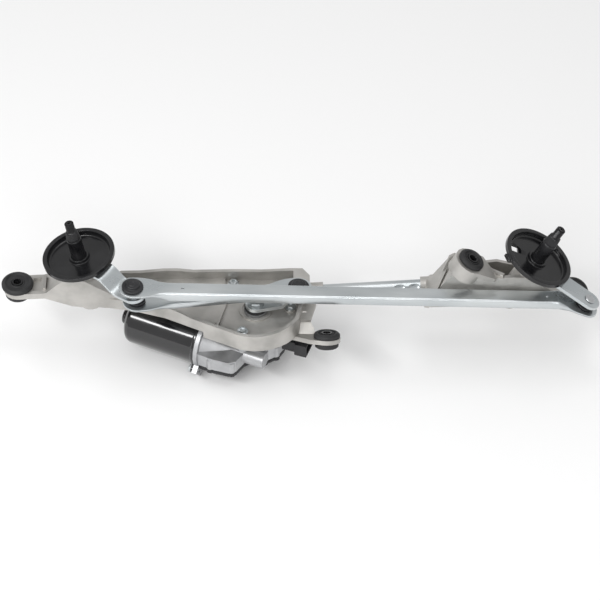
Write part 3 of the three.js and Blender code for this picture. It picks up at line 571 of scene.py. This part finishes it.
SMALL = (14.5, 13, 9.2, 17)
for name, where, size in (
    ("left_mount", spot((0, 0, 0)), (17.5, 14, 9.6, 20)),
    ("fork_mount", FORK @ spot((0, 0, -9)), SMALL),
    ("right_inner_mount", RIGHT @ spot((-64.6, -4.7, -39)), SMALL),
    ("right_outer_mount", RIGHT @ spot((70.2, 16.2, -39)), SMALL),
):
    show(grommet(*size), name + "_grommet", where)
    show(sleeve(size[3]), name + "_sleeve", where)

# ------------------------------------------------------------------ crank, nut and screws


def hexagon(across, low, high, chamfer):
    radius = across / math.sqrt(3)
    body = prism(arc(0, 0, radius, 0, 300, 60), low, high)
    cone = turned([(0, low), (radius + 1, low), (radius + 1, high - chamfer),
                   (across / 2 - 0.4, high), (0, high)], 48)
    return combine(body, cone, "INTERSECT")


nut = join(hexagon(14, 12.2, 15.6, 1.2), turned([(0, 11.2), (9.4, 11.2), (9.2, 12.0),
                                                 (7.6, 12.6), (0, 12.6)], 48))
cut(nut, turned([(0, 10), (4.3, 10), (4.3, 17), (0, 17)], 32))
show(nut, "crank_nut", OUTPUT, edge=0.15)
crank_profile = [(-12, 6.4), (28, 6.4), (37, 15.4), (58, 15.4), (58, 18.2), (36, 18.2),
                 (27, 10.9), (-12, 10.9)]
crank = prism(rounded_loop(crank_profile, 1.2, 3), -12, 12, across="Y")
combine(crank, prism([*arc(0, 0, 11.5, 80, 280), *arc(47.6, 0, 9.5, -80, 80)], 0, 20), "INTERSECT")
cut(crank, turned([(0, 0), (5.3, 0), (5.3, 20), (0, 20)], 32))
show(crank, "crank_arm", CRANK, edge=0.4)
shaft = turned(rounded([(0, -46), (6, -46), (7, -45), (7, 4.6), (5, 6), (5, 10.9),
                        (4, 11.3), (4, 15.4), (3.4, 16.2), (0, 16.4)], 0.2, 2), 48)
show(shaft, "output_shaft", OUTPUT)
show(turned(rounded_loop([(7.3, 3.3), (12.6, 3.3), (12.6, 5.2), (11.8, 6), (7.3, 6)], 0.4, 3), 64),
     "output_seal", OUTPUT)
for i, (x, y) in enumerate(SCREWS):
    screw = join(
        turned(rounded([(0, -18), (2.6, -18), (2.6, 1.9), (6.2, 1.9), (6.2, 2.6), (4.6, 3.3),
                        (0, 3.3)], 0.2, 2), 48),
        hexagon(8, 3.0, 5.8, 0.7),
    )
    cut(screw, turned([(0, 4.6), (2.2, 4.6), (2.2, 7), (0, 7)], 6))
    show(screw, f"motor_screw_{i + 1}", OUTPUT @ spot((x, y, 0)), edge=0.12)

# ------------------------------------------------------------------ motor yoke

X_AXIS = Matrix.Rotation(math.pi / 2, 4, "Y")
EARS = (130, -50)  # yoke ears, in degrees round the armature axis
EAR_R = 33


def motor_yoke():
    outside = [(0, -98), (7, -98), (9, -97), (9.5, -96), (9.5, -90.4), (10.2, -90), (19, -89.4),
               (23, -87.6), (25.8, -85), (27, -81.6), (27, -4.6), (27.6, -3.4), (29.4, -3),
               (30, -2.4), (30, -0.4), (29.6, 0), (25, 0), (25, -81), (19, -86), (7.3, -86.6),
               (7.3, -95.6), (0, -95.6)]
    body = moved(turned(rounded(outside, 0.8, 3), 128), X_AXIS)
    to_x = Matrix(((0, 0, 1, 0), (1, 0, 0, 0), (0, 1, 0, 0), (0, 0, 0, 1)))
    for angle in EARS:
        turn = Matrix.Rotation(math.radians(angle), 4, "X")
        ear = prism([(-8, 24), *arc(0, EAR_R, 4.5, 200, -20, 10), (8, 24)], -3, 0)
        join(body, moved(ear, turn @ to_x))
        hole = turned([(0, -4), (2.7, -4), (2.7, 1), (0, 1)], 24)
        cut(body, moved(hole, turn @ Matrix.Translation((0, 0, EAR_R)) @ X_AXIS))
    dimple = turned([(0, 24), (1.9, 24), (1.9, 29), (0, 29)], 32)
    return cut(body, moved(dimple, Matrix.Translation((-74, 0, 0))))


show(motor_yoke(), "motor_yoke", MOTOR, edge=0.25)

# ------------------------------------------------------------------ CAD nodes that stay

# Width of the rounded edges of castings and other shapes kept from the model, in millimetres.
EDGES = {"left_bracket": 1.0, "right_bracket": 1.0, "gear_housing": 0.8, "gear_cover": 0.5,
         "cross_tube": 0.4, "connector": 0.6}
shown_by = {o.name for o in bpy.data.objects}
for node, piece in frame["nodes"].items():
    piece.data.materials.clear()
    piece.data.materials.append(MATERIALS[SLOT_OF[node]])
    if node + "_fine" in shown_by:
        continue
    weld = piece.modifiers.new("weld", "WELD")
    weld.merge_threshold = 0.00002
    flat = piece.modifiers.new("flat", "DECIMATE")
    flat.decimate_type = "DISSOLVE"
    flat.angle_limit = math.radians(1.5)
    soften(piece, EDGES.get(node, 0.3) * MM, 2)

# ------------------------------------------------------------------ stage, lights and camera

FLOOR_Z = cad_box[0][2] - 0.001
FLOOR_HALF = 6
bm = bmesh.new()
for x, y in ((-1, -1), (1, -1), (1, 1), (-1, 1)):
    bm.verts.new((x * FLOOR_HALF, y * FLOOR_HALF, FLOOR_Z))
bm.faces.new(list(bm.verts))
floor = object_from(bm, "floor")
floor_material, nodes, links, shader = new_material("pale_floor")
shader.inputs["Base Color"].default_value = (0.93, 0.93, 0.93, 1)
shader.inputs["Roughness"].default_value = 0.9
shader.inputs["Specular IOR Level"].default_value = 0.1
floor.data.materials.append(floor_material)

world = bpy.data.worlds.new("studio")
bpy.context.scene.world = world
world.use_nodes = True
world.node_tree.nodes["Background"].inputs["Color"].default_value = (1, 1, 1, 1)
world.node_tree.nodes["Background"].inputs["Strength"].default_value = 0.62


def area_light(name, at, target, size, power):
    data = bpy.data.lights.new(name, "AREA")
    data.shape = "RECTANGLE"
    data.size, data.size_y = size
    data.energy = power
    light = bpy.data.objects.new(name, data)
    bpy.context.scene.collection.objects.link(light)
    light.location = at
    direction = Vector(target) - Vector(at)
    light.rotation_euler = direction.to_track_quat("-Z", "Y").to_euler()


middle = Vector((0.3103, -0.0087, 0))
# The strip makes the long highlights on the yoke.
area_light("key", middle + Vector((-0.3, -1.7, 1.25)), middle, (1.6, 0.4), 11)
area_light("strip", middle + Vector((-1.15, -0.9, 1.42)), middle, (1.2, 0.25), 15)
area_light("top", middle + Vector((0.2, 0.05, 2.1)), middle, (1.2, 0.6), 6)

CAMERA_DISTANCE = 3.3
camera_data = bpy.data.cameras.new("camera")
camera_data.lens = 180
camera_data.sensor_width = 36
camera = bpy.data.objects.new("camera", camera_data)
bpy.context.scene.collection.objects.link(camera)
ELEVATION = math.radians(45)
camera.location = middle + CAMERA_DISTANCE * Vector((0, -math.cos(ELEVATION), math.sin(ELEVATION)))
camera.rotation_euler = (math.pi / 2 - ELEVATION, 0, 0)
bpy.context.scene.camera = camera
bpy.context.scene.view_settings.view_transform = "Standard"
